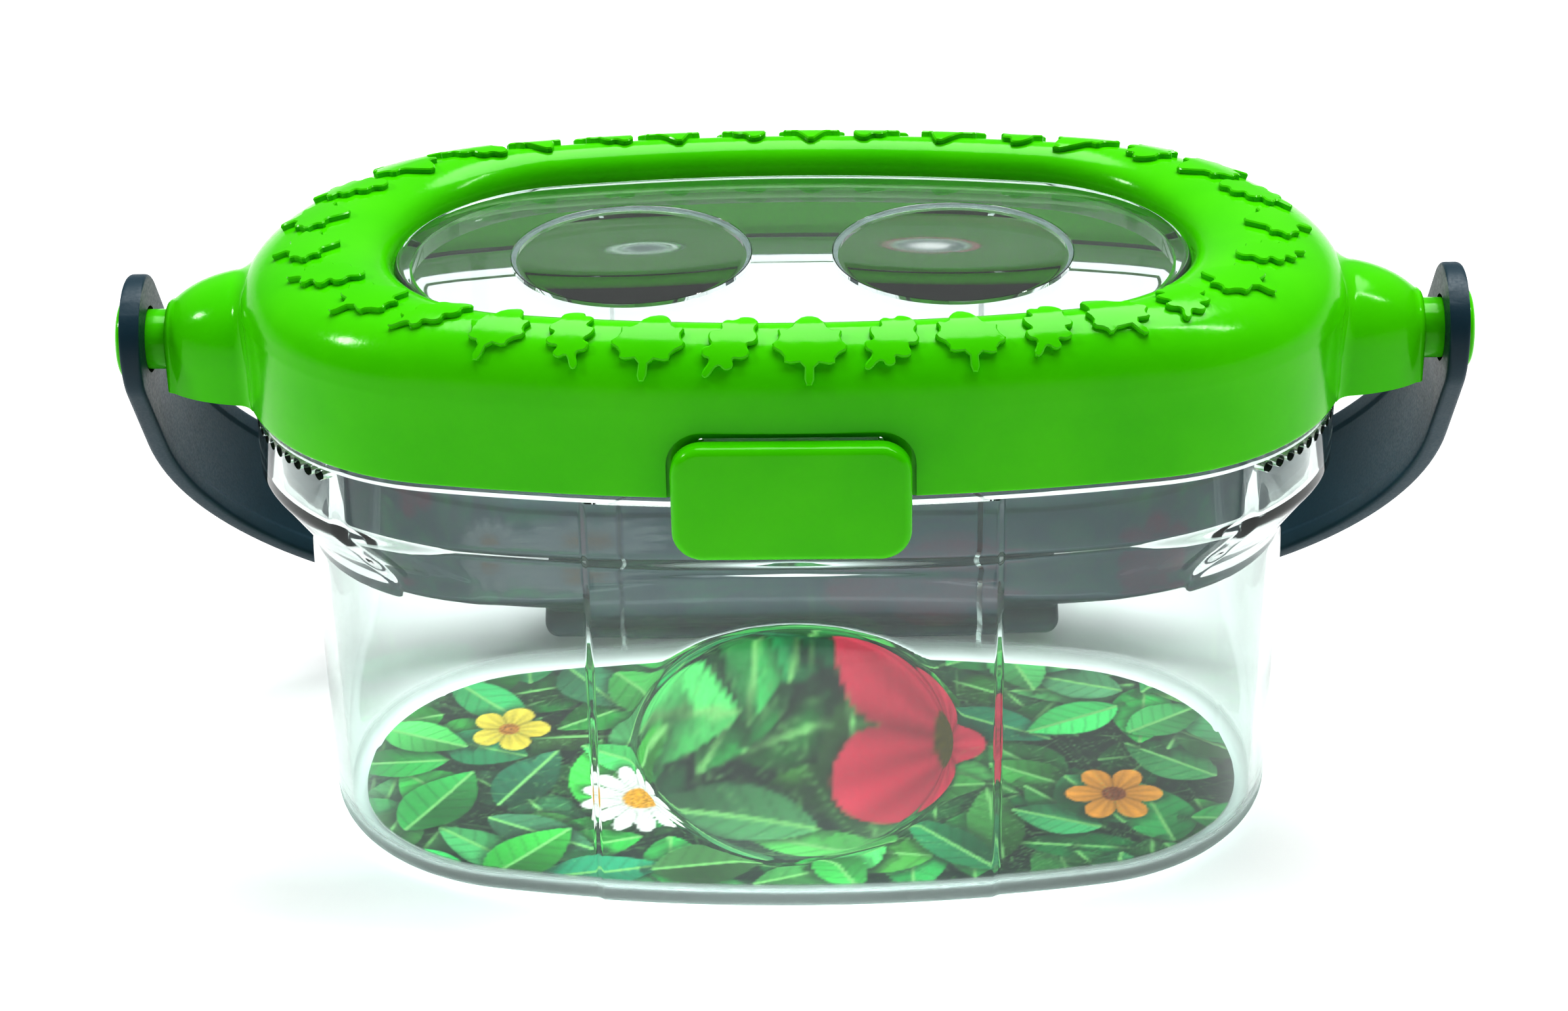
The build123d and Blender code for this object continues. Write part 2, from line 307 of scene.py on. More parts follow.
def soft_min(a, b, width):
    return -soft_max(-a, -b, width)


def quarter(count):
    """Angles over a quarter turn."""
    return np.linspace(0, math.pi / 2, count)


def rounding(radius, count):
    """Distances from both faces beside a rounded edge, at places along it."""
    return [(radius * (1 - math.cos(turn)), radius * (1 - math.sin(turn))) for turn in quarter(count)]


def run_along(line):
    """How far along a line each of its points is."""
    return np.concatenate([[0], np.cumsum(np.linalg.norm(np.diff(line, axis=0), axis=1))])


def at_height(flat, height):
    return np.column_stack([flat, np.full(len(flat), height)])


def soft_curve(points, count):
    """Even samples of a smooth curve through the points."""
    points = np.array(points, float)
    ends = [2 * points[0] - points[1], *points, 2 * points[-1] - points[-2]]
    found = []
    steps = np.linspace(0, 1, 24, endpoint=False)[:, None]
    for a, b, c, d in zip(ends, ends[1:], ends[2:], ends[3:]):
        bend = 2 * a - 5 * b + 4 * c - d
        twist = -a + 3 * b - 3 * c + d
        found.append(0.5 * (2 * b + (c - a) * steps + bend * steps**2 + twist * steps**3))
    line = np.vstack([*found, points[-1:]])
    run = run_along(line)
    even = np.linspace(0, run[-1], count)
    return np.column_stack([np.interp(even, run, line[:, k]) for k in range(line.shape[1])])


def angles_round(outline, spacing):
    """Normal angles round an oval, with a spacing in mm that depends on the place."""
    fine = np.linspace(-math.pi, math.pi, 40001)
    points = outline.at(fine)
    step = np.linalg.norm(np.diff(points, axis=0), axis=1)
    middle = (points[1:] + points[:-1]) / 2
    run = np.concatenate([[0], np.cumsum(step / spacing(middle[:, 0], middle[:, 1]))])
    count = int(round(run[-1]))
    return np.interp(np.arange(count) * run[-1] / count, run, fine)


# Meshes
def add_object(name, data):
    made = bpy.data.objects.new(name, data)
    bpy.context.scene.collection.objects.link(made)
    return made


def finish_mesh(name, vertices, faces, material, angle=SHARP_ANGLE):
    mesh = bpy.data.meshes.new(name)
    mesh.from_pydata((np.asarray(vertices) * MM).tolist(), [], faces)
    tidy = bmesh.new()
    tidy.from_mesh(mesh)
    bmesh.ops.recalc_face_normals(tidy, faces=tidy.faces)
    tidy.to_mesh(mesh)
    tidy.free()
    smooth(mesh, angle)
    mesh.materials.append(material)
    return add_object(name, mesh)


def smooth(mesh, angle=SHARP_ANGLE):
    mesh.shade_smooth()
    mesh.set_sharp_from_angle(angle=angle)


def band(low, high):
    """Faces between two rings of vertex numbers."""
    low, high = list(low), list(high)
    return list(zip(low, low[1:] + low[:1], high[1:] + high[:1], high))


def lofted(loops, ring=False):
    """Vertices and faces of a skin through closed loops, capped at both ends or joined into a ring."""
    count = len(loops[0])
    rows = [range(start, start + count) for start in range(0, count * len(loops), count)]
    faces = []
    for low, high in zip(rows, rows[1:] + (rows[:1] if ring else [])):
        faces += band(low, high)
    if not ring:
        faces += [tuple(rows[0]), tuple(rows[-1])]
    return np.vstack(loops), faces


def turned(profile, count, centre=(0.0, 0.0)):
    """Skin of a (radius, height) profile turned about a vertical axis."""
    angles = np.linspace(0, 2 * math.pi, count, endpoint=False)
    circle = np.column_stack([np.cos(angles), np.sin(angles)])
    return lofted([at_height(centre + radius * circle, height) for radius, height in profile])


def joined(parts):
    """Several (vertices, faces) pairs as one."""
    vertices, faces, start = [], [], 0
    for points, polygons in parts:
        vertices.append(points)
        faces.extend(tuple(start + k for k in polygon) for polygon in polygons)
        start += len(points)
    return np.vstack(vertices), faces


def cut(piece, tool_parts, material):
    """Takes closed tool shapes out of a piece."""
    tool = finish_mesh(piece.name + "_tool", *joined(tool_parts), material)
    modifier = piece.modifiers.new("cut", "BOOLEAN")
    modifier.operation = "DIFFERENCE"
    modifier.solver = "EXACT"
    modifier.object = tool
    evaluated = piece.evaluated_get(bpy.context.evaluated_depsgraph_get())
    mesh = bpy.data.meshes.new_from_object(evaluated)
    piece.modifiers.clear()
    old = piece.data
    piece.data = mesh
    mesh.name = piece.name
    bpy.data.meshes.remove(old)
    bpy.data.objects.remove(tool)
    smooth(mesh)
    return piece


def rounded_rectangle(half_x, half_y, corner, steps=12):
    """Corner-rounded rectangle as points, anticlockwise."""
    points = []
    for turn, (sx, sy) in enumerate([(1, 1), (-1, 1), (-1, -1), (1, -1)]):
        angles = turn * math.pi / 2 + quarter(steps)
        x = sx * (half_x - corner) + corner * np.cos(angles)
        y = sy * (half_y - corner) + corner * np.sin(angles)
        points.append(np.column_stack([x, y]))
    return np.vstack(points)


def rounded_slab(half_x, half_y, low, high, corner, edge, steps=6):
    """Slab with rounded corners and rounded edges above and below."""
    falls = rounding(edge, steps)
    rows = [(gap, low + up) for gap, up in reversed(falls)] + [(gap, high - down) for gap, down in falls]
    loops = []
    for gap, height in rows:
        loops.append(at_height(rounded_rectangle(half_x - gap, half_y - gap, corner - gap), height))
    return lofted(loops)


# Materials
class Graph:
    """A cleared node tree, whose new nodes take values or other nodes' outputs in their sockets."""

    def __init__(self, owner):
        owner.use_nodes = True
        self.owner = owner
        self.tree = owner.node_tree
        self.tree.nodes.clear()

    def feed(self, socket, value):
        if isinstance(value, bpy.types.NodeSocket):
            self.tree.links.new(value, socket)
        else:
            socket.default_value = value

    def add(self, kind, **sockets):
        made = self.tree.nodes.new("ShaderNode" + kind)
        for name, value in sockets.items():
            self.feed(made.inputs[name.replace("_", " ")], value)
        return made

    def finish(self, surface, kind="OutputMaterial"):
        self.add(kind, Surface=surface)
        return self.owner

    def place(self, kind="Object"):
        return self.add("TexCoord").outputs[kind]

    def noise(self, scale, detail=3.0):
        return self.add("TexNoise", Vector=self.place(), Scale=scale, Detail=detail).outputs["Fac"]

    def height(self, place):
        return self.add("SeparateXYZ", Vector=place).outputs["Z"]

    def ranged(self, source, low, high, start=0.3, end=0.7):
        made = self.add("MapRange", Value=source, From_Min=start, From_Max=end, To_Min=low, To_Max=high)
        return made.outputs["Result"]

    def bump(self, source, strength, distance):
        return self.add("Bump", Height=source, Strength=strength, Distance=distance).outputs["Normal"]

    def mixed(self, share, a, b, kind="MIX"):
        made = self.add("Mix")
        made.data_type = "RGBA"
        made.blend_type = kind
        for name, value in (("Factor", share), ("A", a), ("B", b)):
            self.feed(made.inputs[name], value)
        return made.outputs["Result"]

    def math(self, operation, a, b):
        made = self.add("Math")
        made.operation = operation
        self.feed(made.inputs[0], a)
        self.feed(made.inputs[1], b)
        return made.outputs["Value"]


def moulded(name, dark, light, specular, cloud_scale, grain_scale, polish, grain_depth):
    """Moulded plastic of slightly uneven colour, with a fine grain in its gloss and surface."""
    graph = Graph(bpy.data.materials.new(name))
    share = graph.ranged(graph.noise(cloud_scale), 0.0, 1.0)
    grain = graph.noise(grain_scale, 2.0)
    base = graph.add(
        "BsdfPrincipled",
        Base_Color=graph.mixed(share, (*dark, 1), (*light, 1)),
        Roughness=graph.ranged(grain, *polish),
        IOR=1.5,
        Specular_IOR_Level=specular,
        Normal=graph.bump(grain, 0.25, grain_depth),
    )
    return graph.finish(base.outputs["BSDF"])


def clear_plastic(name, tint, edge_tint, wave, haze, frost_top=0.0):
    """Clear polished plastic, deeper in colour where it is seen along its wall, and matt below a height."""
    graph = Graph(bpy.data.materials.new(name))
    slant = graph.add("LayerWeight", Blend=0.5).outputs["Facing"]
    along = graph.ranged(slant, 0.0, 1.0, 0.2, 1.0)
    flow = graph.noise(90.0, 2.0)
    polish, passed = graph.ranged(flow, 0.0, 0.03), 1 - haze
    if frost_top:
        height = graph.height(graph.place())
        fade = (frost_top - FROST_FADE) * MM, frost_top * MM
        polish = graph.math("ADD", polish, graph.ranged(height, FROST_ROUGHNESS, 0.0, *fade))
        passed = graph.ranged(height, FROST_TRANSMISSION, 1 - haze, *fade)
    base = graph.add(
        "BsdfPrincipled",
        Base_Color=graph.mixed(along, (*tint, 1), (*edge_tint, 1)),
        Roughness=polish,
        IOR=1.49,
        Transmission_Weight=passed,
        Normal=graph.bump(flow, wave, 0.0004),
    )
    shadow = graph.add("LightPath").outputs["Is Shadow Ray"]
    mix = graph.add("MixShader", Fac=shadow)
    graph.feed(mix.inputs[1], base.outputs["BSDF"])
    graph.feed(mix.inputs[2], graph.add("BsdfTransparent", Color=(*tint, 1)).outputs["BSDF"])
    return graph.finish(mix.outputs["Shader"])


def printed_card():
    """Coated card: the print is worked out on the mesh, and the nodes add its screen grain and gloss."""
    graph = Graph(bpy.data.materials.new("printed_card"))
    ink = graph.add("VertexColor")
    ink.layer_name = "print"
    grain = graph.noise(2600.0, 2.0)
    base = graph.add(
        "BsdfPrincipled",
        Base_Color=graph.mixed(1.0, ink.outputs["Color"], graph.ranged(grain, 0.9, 1.08), "MULTIPLY"),
        Roughness=graph.ranged(grain, 0.3, 0.42),
        IOR=1.45,
    )
    return graph.finish(base.outputs["BSDF"])


green = moulded(
    "green_plastic", (0.07, 0.55, 0.0002), (0.09, 0.61, 0.0005), 0.25, 60.0, 1300.0, (0.11, 0.19), 0.00006
)
black = moulded(
    "black_plastic", (0.011, 0.036, 0.052), (0.017, 0.048, 0.068), 0.35, 45.0, 2400.0, (0.36, 0.5), 0.00005
)
tub_clear = clear_plastic("tub_clear", (0.9, 0.95, 0.94), (0.44, 0.53, 0.49), 0.02, 0.01, FROST_TOP)
window_clear = clear_plastic("window_clear", (0.92, 0.965, 0.96), (0.75, 0.85, 0.84), 0.01, 0.015)
lens_clear = clear_plastic("lens_clear", (0.95, 0.975, 0.965), (0.8, 0.88, 0.87), 0.0, 0.01)
card_ink = printed_card()


# Tub
def body_oval(height, inset=0.0):
    """The wall's outline at a height, with its draft."""
    return body_outline.inset(inset - height * math.tan(WALL_DRAFT))


def flared(angles, height, low, high, lug):
    """Loop on a flare from a wall oval to a shoulder oval, with one slope all round and end lugs."""
    wall, shoulder = low.at(angles), high.at(angles)
    away = shoulder - wall
    step = np.linalg.norm(away, axis=1)
    turn = np.arctan2(np.abs(np.sin(angles)), np.abs(np.cos(angles)))
    edge = LUG_ANGLE + LUG_SPLAY * max(FLARE_TOP - height, 0)
    extra = lug * (1 - smoothstep(edge - LUG_EDGE, edge + LUG_EDGE, turn))
    reach = step + extra
    out = reach - (FLARE_TOP - height) * FLARE_SLOPE
    out = soft_min(soft_max(out, np.zeros_like(out), FLARE_FOOT_BLEND), reach, FLARE_EDGE_BLEND)
    return at_height(wall + away / step[:, None] * np.clip(out, 0, None)[:, None], height)


def outer_loop(angles, height):
    return flared(angles, height, body_oval(min(height, FLARE_TOP)), shoulder_outline, LUG_PROUD)


def inner_loop(angles, height):
    wall = body_oval(min(height, FLARE_TOP), WALL)
    return flared(angles, height - WALL / 2, wall, mouth, 0.0) + (0, 0, WALL / 2)


def with_panels(loop, height):
    """Moves the middle of the front and rear walls out to the raised panels, which run straight up."""
    x, y = loop[:, 0], loop[:, 1]
    wall = body_oval(height).depth_at(x)
    ramp = np.clip((height - PANEL_RAMP_START) / (SEAT_HEIGHT - PANEL_RAMP_START), 0, 1)
    depth = wall + (shoulder_outline.depth_at(x) - wall) * ramp
    moved = loop.copy()
    moved[:, 1] += np.sign(y) * (np.maximum(depth - np.abs(y), 0) + PANEL_PROUD) * on_panel(x)
    return moved


def on_panel(x):
    """One on a panel, falling to nothing across its steep edge."""
    return np.clip((PANEL_WIDTH / 2 + PANEL_EDGE / 2 - np.abs(x)) / PANEL_EDGE, 0, 1)


def tub_angles():
    """Normal angles of the tub's columns, with columns at both foot and top of each panel's edge."""
    angles = angles_round(body_outline, tub_spacing)
    for x in (PANEL_WIDTH / 2 - PANEL_EDGE / 2, PANEL_WIDTH / 2 + PANEL_EDGE / 2):
        exact = math.acos(x / body_outline.side_radius)
        for angle in (exact, math.pi - exact, -exact, exact - math.pi):
            angles[np.argmin(np.abs(angles - angle))] = angle
    return angles


def straightened(loop, angles):
    """Slides a loop's points along it, so that columns near the middle of the sides stand upright."""
    across = body_outline.at(angles)[:, 0]
    share = 1 - smoothstep(COLUMNS_STRAIGHT, COLUMNS_FREE, np.abs(across))
    moved = loop.copy()
    for side in (-1, 1):
        picked = np.flatnonzero((np.sign(np.sin(angles)) == side) & (np.abs(across) < COLUMNS_FREE + 6))
        order = picked[np.argsort(loop[picked, 0])]
        target = loop[order, 0] + (across[order] - loop[order, 0]) * share[order]
        moved[order, 1] = np.interp(target, loop[order, 0], loop[order, 1])
        moved[order, 0] = target
    return moved


def with_dome(loop, height):
    """Swells the front panel into the magnifier dome."""
    ball = (DOME_DIAMETER**2 / 4 + DOME_RISE**2) / (2 * DOME_RISE)
    rim = body_oval(DOME_HEIGHT, -PANEL_PROUD).depth_at(DOME_DIAMETER / 2) - DOME_SUNK
    x, y = loop[:, 0], loop[:, 1]
    room = np.maximum(ball**2 - x**2 - (height - DOME_HEIGHT) ** 2, 0)
    depth = rim + DOME_RISE - ball + np.sqrt(room)
    moved = loop.copy()
    moved[:, 1] = np.where(y < 0, -soft_max(-y, depth, DOME_BLEND), y)
    return moved


def tub_spacing(x, y):
    edge = np.abs(np.abs(x) - PANEL_WIDTH / 2) < PANEL_EDGE
    turn = np.arctan2(np.abs(y), np.maximum(np.abs(x) - body_outline.end_centre, 0))
    lug = np.abs(turn - LUG_ANGLE - 5 * LUG_SPLAY) < 0.2
    dome = (y < 0) & (np.abs(x) < DOME_DIAMETER / 2 + 1)
    wide = np.where(dome, DOME_SPACING, TUB_SPACING)
    return np.where(edge, PANEL_EDGE_SPACING, np.where(lug, LUG_SPACING, wide))


def tub_loops():
    """Loops of the tub's skin, from under its base, up outside, over the rim and down inside."""
    angles = tub_angles()

    def ring(outline, height):
        return straightened(outline.loop(angles, height), angles)

    loops = [ring(body_outline.inset(BASE_ROUND + gap), 0) for gap in (3, 0.2)]
    for height, gap in rounding(BASE_ROUND, 9)[1:]:
        loop = ring(body_oval(height, gap), height)
        proud = PANEL_PROUD * (1 - gap / BASE_ROUND)
        loop[:, 1] += np.sign(loop[:, 1]) * proud * on_panel(loop[:, 0])
        loops.append(loop)
    flange_low = SEAT_HEIGHT - FLANGE_THICKNESS
    outer_rows = np.concatenate([
        np.arange(BASE_ROUND + 0.5, FLARE_TOP - 9, 0.6),
        np.arange(FLARE_TOP - 9, FLARE_TOP + 1.5, 0.35),
        np.arange(FLARE_TOP + 1.5, flange_low - 0.4, 0.9),
        [flange_low - 0.1],
    ])
    for height in outer_rows:
        loop = with_panels(straightened(outer_loop(angles, height), angles), height)
        loops.append(with_dome(loop, height) if height < DOME_HEIGHT + DOME_DIAMETER / 2 else loop)
    edge, soft = RIM_ROUND, RIM_ROUND * 0.3
    rim = [
        (flange_outline.inset(edge), flange_low),
        (flange_outline.inset(soft), flange_low + soft),
        (flange_outline, flange_low + edge),
        (flange_outline, SEAT_HEIGHT - edge),
        (flange_outline.inset(soft), SEAT_HEIGHT - soft),
        (flange_outline.inset(edge), SEAT_HEIGHT - SEAT_GAP),
        (neck_outline, SEAT_HEIGHT - SEAT_GAP),
        (neck_outline, rim_top - edge),
        (neck_outline.inset(soft), rim_top - soft),
        (neck_outline.inset(edge), rim_top),
        (mouth.inset(-edge), rim_top),
        (mouth.inset(-soft), rim_top - soft),
        (mouth, rim_top - edge),
    ]
    loops.extend(ring(outline, height) for outline, height in rim)
    inner_rows = np.concatenate([
        np.arange(rim_top - 1.5, FLARE_TOP + 3, -1.5),
        np.arange(FLARE_TOP + 3, FLARE_TOP - 8, -0.5),
        np.arange(FLARE_TOP - 8, FLOOR_THICKNESS + FLOOR_ROUND + 0.5, -1.6),
    ])
    loops.extend(straightened(inner_loop(angles, height), angles) for height in inner_rows)
    for rise, gap in reversed(rounding(FLOOR_ROUND, 8)):
        height = FLOOR_THICKNESS + rise
        loops.append(ring(body_oval(height, WALL + gap), height))
    loops.append(ring(body_oval(FLOOR_THICKNESS, WALL + FLOOR_ROUND + 3), FLOOR_THICKNESS))
    return loops


def rod_along(start, end, radius, count=28):
    """Closed cylinder between two points."""
    start, end = np.array(start, float), np.array(end, float)
    way = (end - start) / np.linalg.norm(end - start)
    side = np.cross(way, (0, 0, 1.0) if abs(way[2]) < 0.9 else (1.0, 0, 0))
    side /= np.linalg.norm(side)
    up = np.cross(way, side)
    angles = np.linspace(0, 2 * math.pi, count, endpoint=False)[:, None]
    ring = radius * (np.cos(angles) * side + np.sin(angles) * up)
    return lofted([start + ring, end + ring])


def vent_rods():
    height = SEAT_HEIGHT - VENT_DROP
    rods = []
    for side in (-1, 1):
        centre = np.array([side * neck_outline.end_centre, 0, height])
        for number in range(VENT_COUNT):
            angle = (number - (VENT_COUNT - 1) / 2) * VENT_PITCH
            way = np.array([side * math.cos(angle), math.sin(angle), 0])
            near = mouth.end_radius - WALL
            far = lid_outline.end_radius + WALL
            rods.append(rod_along(centre + way * near, centre + way * far, VENT_DIAMETER / 2))
    return rods


def make_tub():
    piece = finish_mesh("jar_tub", *lofted(tub_loops()), tub_clear)
    cut(piece, vent_rods(), tub_clear)
    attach(piece, "jar")
    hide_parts("jar_body")


# Lid
def crown_line(profile, outer, inner, count):
    """Ovals and heights across a ring, along a profile of shares."""
    rise = CREST_HEIGHT - SKIRT_HEIGHT
    width = outer.half_depth - inner.half_depth
    line = soft_curve([(across * width, up * rise) for across, up in profile], count)
    return [(outer.towards(inner, across / width), skirt_top + up) for across, up in line]


def ring_spacing(x, y):
    return np.full_like(x, RING_SPACING)


def make_lid_ring():
    angles = angles_round(lid_outline, ring_spacing)
    inside = lid_outline.inset(SKIRT_WALL)
    edge = SKIRT_EDGE_ROUND
    rows = [(inside, SEAT_HEIGHT), (lid_outline.inset(edge), SEAT_HEIGHT)]
    rows.extend((lid_outline.inset(gap), SEAT_HEIGHT + rise) for rise, gap in rounding(edge, 5)[1:])
    rows.extend((lid_outline, height) for height in np.linspace(SEAT_HEIGHT + 1, skirt_top - 0.4, 14))
    rows.extend(crown_line(CROWN_PROFILE, lid_outline, opening, 60))
    rows.append((opening, lip_bottom + 0.3))
    rows.append((opening.inset(-0.3), lip_bottom))
    rows.append((opening.inset(-LIP_WALL), lip_bottom))
    rows.extend(reversed(crown_line(CAVITY_PROFILE, inside, opening.inset(-LIP_WALL), 24)))
    loops = [outline.loop(angles, height) for outline, height in rows]
    piece = finish_mesh("lid_ring", *lofted(loops, ring=True), green)
    low, high = SEAT_HEIGHT - LATCH_DROP, latch_top + LATCH_TOP_GAP
    flat = rounded_rectangle(LATCH_WIDTH / 2 + LATCH_GAP, (high - low) / 2, LATCH_CORNER + LATCH_GAP)
    front = lid_outline.half_depth + LATCH_THICKNESS
    recess = upright(flat, (low + high) / 2, lid_outline.half_depth - LATCH_RECESS, front)
    cut(piece, [recess], green)
    reach = KNUCKLE_RADIUS + LATCH_GAP
    flat = rounded_rectangle(knuckle_half + LATCH_GAP, reach, LATCH_GAP)
    cut(piece, [upright(flat, pin_height, pin_back - reach, front)], green)
    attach(piece, "lid")
    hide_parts("lid_frame")


def standing(flat, middle, away):
    """Loop of an outline in x and z, at a distance in front of the middle."""
    return np.column_stack([flat[:, 0], np.full(len(flat), -away), flat[:, 1] + middle])


def upright(flat, middle, back, front):
    """Upright prism of an outline in x and z, between two distances in front of the middle."""
    return lofted([standing(flat, middle, away) for away in (back, front)])


def bar(half, back, height, radius):
    """Rod along x, in front of the middle."""
    return rod_along((-half, -back, height), (half, -back, height), radius)


def make_latch():
    """Clip with a rounded, slightly crowned face, and its knuckle, stub pins and catch bead behind."""
    front = latch_back + LATCH_THICKNESS
    edge = LATCH_EDGE_ROUND
    rim = front - LATCH_CROWN
    rows = [(LATCH_BACK_ROUND, latch_back), (0.0, latch_back + LATCH_BACK_ROUND), (0.0, rim - edge)]
    rows.extend((gap, rim - down) for gap, down in rounding(edge, 9)[1:])
    for share in np.linspace(0, 1, 9)[1:]:
        rows.append((edge + share * LATCH_CROWN_REACH, rim + LATCH_CROWN * math.sin(share * math.pi / 2)))
    loops = []
    for gap, away in rows:
        corner = max(LATCH_CORNER - gap, 0.4)
        flat = rounded_rectangle(LATCH_WIDTH / 2 - gap, LATCH_HEIGHT / 2 - gap, corner, 16)
        loops.append(standing(flat, latch_middle, away))
    knuckle = bar(knuckle_half, pin_back, pin_height, KNUCKLE_RADIUS)
    pin = bar(pin_end, pin_back, pin_height, PIN_DIAMETER / 2)
    web_flat = rounded_rectangle(knuckle_half, KNUCKLE_RADIUS, 0.3, 4)
    web = upright(web_flat, pin_height, pin_back, latch_back + 0.5)
    bead_radius = latch_back - flange_outline.half_depth - LATCH_CATCH_CLEARANCE
    bead_height = SEAT_HEIGHT - FLANGE_THICKNESS - LATCH_CATCH_CLEARANCE - bead_radius
    bead = bar(LATCH_WIDTH / 3, latch_back, bead_height, bead_radius)
    piece = finish_mesh("lid_clip", *joined([lofted(loops), knuckle, pin, web, bead]), green)
    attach(piece, "latch")
    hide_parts("front_latch")


def lid_end_at(y, z):
    """How far the lid's rounded end reaches at a place on it."""
    rise = np.clip(z - skirt_top, 0, None) / (CREST_HEIGHT - SKIRT_HEIGHT)
    acrosses, ups = zip(*CROWN_PROFILE[:6])
    gap = np.interp(rise, ups, acrosses) * (lid_outline.half_length - opening.half_length)
    radius = lid_outline.end_radius - gap
    return lid_outline.end_centre + np.sqrt(np.maximum(radius**2 - y**2, 0))


def ear_radius(x):
    root = lid_outline.half_length - SKIRT_WALL
    nose = EAR_REACH + EAR_NOSE_RESERVE + SKIRT_WALL
    return EAR_ROOT_RADIUS * np.sqrt(np.clip(1 - ((x - root) / nose) ** 2, 0, 1))


def ear_section(radius, spread):
    """Points of an ear's section: upright sides, a round top and a flat underside."""
    turn = np.linspace(0, math.pi, 33)
    side = np.linspace(SEAT_HEIGHT, post_height, 7)[:-1]
    under = np.linspace(-1, 1, 9)[1:-1]
    reach = radius + spread
    top = np.column_stack([reach * np.cos(turn), post_height + reach * np.sin(turn)])
    right = np.column_stack([np.full(len(side), reach), side])
    left = right[::-1] * (-1, 1)
    bottom = np.column_stack([under * reach, np.full(len(under), SEAT_HEIGHT)])
    return np.vstack([right, top, left, bottom])


def ear_loops():
    """Loops of an ear, from inside the lid's end, out over its fillet to the rounded tip."""
    start = lid_outline.half_length + EAR_FILLET
    sunk = ear_section(ear_radius(start), EAR_FILLET + 0.1)
    loops = [np.column_stack([lid_end_at(*sunk.T) - EAR_SUNK, sunk])]
    for spread, away in reversed(rounding(EAR_FILLET, 9)):
        flat = ear_section(ear_radius(start), spread)
        loops.append(np.column_stack([lid_end_at(*flat.T) + away, flat]))
    first = loops[-1][:, 0]
    flat_tip = ear_tip - EAR_TIP_ROUND
    for share in np.linspace(0, 1, 14)[1:]:
        flat = ear_section(ear_radius(start + (flat_tip - start) * share), 0)
        loops.append(np.column_stack([first + (flat_tip - first) * share, flat]))
    for gap, short in rounding(EAR_TIP_ROUND, 7)[1:]:
        flat = ear_section(ear_radius(flat_tip), -gap)
        loops.append(np.column_stack([np.full(len(flat), ear_tip - short), flat]))
    return loops


def post_part():
    """Neck and domed snap head, along +X."""
    radius, head = POST_DIAMETER / 2, HEAD_DIAMETER / 2
    profile = [
        (radius, ear_tip - 2),
        (radius, head_start - 0.02),
        (head - HEAD_CHAMFER, head_start),
        (head, head_start + HEAD_CHAMFER),
    ]
    for turn in quarter(7)[1:]:
        out = HEAD_RIM + (HEAD_THICKNESS - HEAD_RIM) * math.sin(turn)
        profile.append((head - HEAD_ROUND * (1 - math.cos(turn)), head_start + out))
    vertices, faces = turned(profile, 48)
    return np.column_stack([vertices[:, 2], vertices[:, 0], vertices[:, 1] + post_height]), faces


def make_ears():
    for name, side in (("left", -1), ("right", 1)):
        parts = []
        for vertices, faces in (lofted(ear_loops()), post_part()):
            parts.append((vertices * (side, 1, 1), faces))
        piece = finish_mesh(f"lid_ear_{name}", *joined(parts), green)
        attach(piece, "lid")


# Leaves on the ring, as half outlines from stem to tip: across, then along
MAPLE_HALF = [
    (0.6, 0.0), (0.55, 2.9), (3.0, 2.5), (3.1, 3.7), (4.9, 4.7),
    (3.7, 5.9), (4.2, 7.4), (2.5, 7.2), (1.7, 9.0),
]
OAK_HALF = [
    (0.55, 0.0), (0.5, 2.4), (1.8, 2.0), (2.5, 3.0), (1.5, 3.9), (2.8, 4.4),
    (3.3, 5.5), (1.9, 6.3), (2.9, 7.0), (2.8, 8.1), (1.5, 8.6), (1.6, 9.9),
]
LEAF_LENGTH = 10.6


def leaf_outline(half, rounds):
    """Whole outline, with its corners cut off a number of times."""
    points = np.array([*half, (0.0, LEAF_LENGTH)] + [(-x, y) for x, y in reversed(half)])
    for _ in range(rounds):
        after = np.roll(points, -1, axis=0)
        pairs = [points * 0.75 + after * 0.25, points * 0.25 + after * 0.75]
        points = np.stack(pairs, axis=1).reshape(-1, 2)
    return points


def inset_outline(points, gap):
    """Outline moved inwards by a small gap."""
    ahead = np.roll(points, -1, axis=0) - points
    behind = points - np.roll(points, 1, axis=0)
    way = ahead / np.linalg.norm(ahead, axis=1)[:, None] + behind / np.linalg.norm(behind, axis=1)[:, None]
    way /= np.linalg.norm(way, axis=1)[:, None]
    return points + gap * np.column_stack([-way[:, 1], way[:, 0]])


def filled(outline):
    """Triangles over an outline, with inner points on a grid."""
    low, high = outline.min(0), outline.max(0)
    spots = [
        (x, y)
        for x in np.arange(low[0] + LEAF_GRID / 2, high[0], LEAF_GRID)
        for y in np.arange(low[1] + LEAF_GRID / 2, high[1], LEAF_GRID)
        if inside_outline(outline, x, y)
    ]
    count = len(outline)
    edges = [(k, (k + 1) % count) for k in range(count)]
    points = [Vector(p) for p in [*outline.tolist(), *spots]]
    found, _, faces, *_ = delaunay_2d_cdt(points, edges, [], 1, 1e-6)
    return np.array([tuple(p) for p in found]), [tuple(f) for f in faces]


def inside_outline(outline, x, y):
    """True well inside the outline."""
    after = np.roll(outline, -1, axis=0)
    crossing = (outline[:, 1] > y) != (after[:, 1] > y)
    with np.errstate(divide="ignore", invalid="ignore"):
        share = (y - outline[:, 1]) / (after[:, 1] - outline[:, 1])
        at = outline[:, 0] + share * (after[:, 0] - outline[:, 0])
    near = np.min(np.hypot(outline[:, 0] - x, outline[:, 1] - y))
    return np.sum(crossing & (x < at)) % 2 == 1 and near > LEAF_GRID * 0.4


